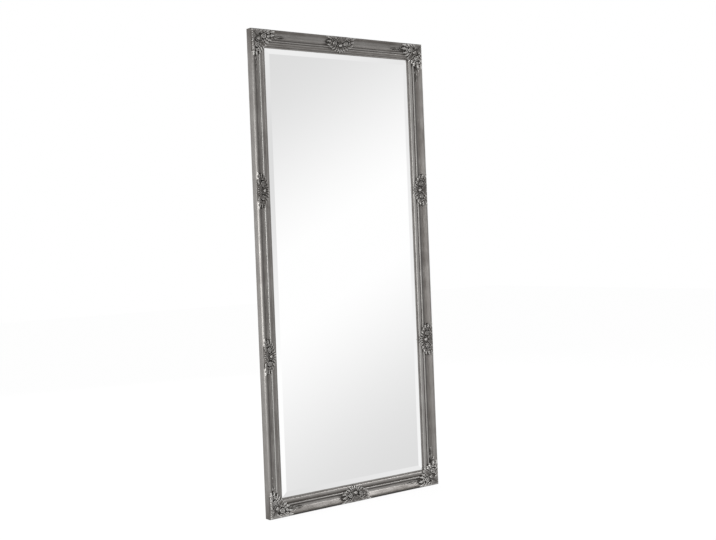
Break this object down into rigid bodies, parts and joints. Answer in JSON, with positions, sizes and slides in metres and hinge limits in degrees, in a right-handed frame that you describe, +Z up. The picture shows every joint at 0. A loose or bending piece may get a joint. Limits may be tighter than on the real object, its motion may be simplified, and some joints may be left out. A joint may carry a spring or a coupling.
{
  "type": "wall mirror",
  "caption": "Full-length wall mirror: bevelled glass in a mitred silver moulding with cast leaf ornaments and D-ring hangers.",
  "frame": {"origin": "middle of the flat back, on the backboard's rear face", "axes": "+Z up along the mirror's height, +Y out of the back towards the wall, +X to the right as seen from the front"},
  "size_m": [0.76, 0.0419, 1.7],
  "materials": {
    "frame_finish": "antique silver leaf paint over gesso, semi-gloss with dark patina in the grooves",
    "ornament_finish": "cast resin, antique silver paint with rubbed highlights",
    "mirror": "silvered glass, polished bevel",
    "cork": "raw cork",
    "card": "raw card",
    "hardboard": "brown hardboard, smooth side out",
    "steel": "zinc plated",
    "rubber": "matt black"
  },
  "bodies": {
    "frame": {"top_rail": "frame_finish", "bottom_rail": "frame_finish", "left_stile": "frame_finish", "right_stile": "frame_finish", "corner_ornament_top_left": "ornament_finish", "corner_ornament_top_right": "ornament_finish", "corner_ornament_bottom_left": "ornament_finish", "corner_ornament_bottom_right": "ornament_finish", "top_ornament": "ornament_finish", "bottom_ornament": "ornament_finish", "left_upper_ornament": "ornament_finish", "left_lower_ornament": "ornament_finish", "right_upper_ornament": "ornament_finish", "right_lower_ornament": "ornament_finish", "v_nails": "steel", "mirror_glass": "mirror", "setting_blocks": "cork", "cushion_sheet": "card", "backboard": "hardboard", "backboard_screws": "steel", "portrait_hanger_left": "steel", "portrait_hanger_right": "steel", "landscape_hanger_upper": "steel", "landscape_hanger_lower": "steel", "hanger_screws": "steel", "wall_bumpers": "rubber"},
    "portrait_ring_left": {"portrait_ring_left": "steel"},
    "portrait_ring_right": {"portrait_ring_right": "steel"},
    "landscape_ring_upper": {"landscape_ring_upper": "steel"},
    "landscape_ring_lower": {"landscape_ring_lower": "steel"}
  },
  "joints": [
    {"name": "portrait_ring_left_swing", "type": "hinge", "parent": "frame", "child": "portrait_ring_left", "pos_m": [-0.36, 0.00266, 0.61], "axis": [-1, 0, 0], "range_deg": [0, 182.5]},
    {"name": "portrait_ring_right_swing", "type": "hinge", "parent": "frame", "child": "portrait_ring_right", "pos_m": [0.36, 0.00266, 0.61], "axis": [-1, 0, 0], "range_deg": [0, 182.5]},
    {"name": "landscape_ring_upper_swing", "type": "hinge", "parent": "frame", "child": "landscape_ring_upper", "pos_m": [-0.3645, 0.00266, 0.45], "axis": [0, 0, -1], "range_deg": [0, 182.5]},
    {"name": "landscape_ring_lower_swing", "type": "hinge", "parent": "frame", "child": "landscape_ring_lower", "pos_m": [-0.3645, 0.00266, -0.45], "axis": [0, 0, -1], "range_deg": [0, 182.5]}
  ]
}
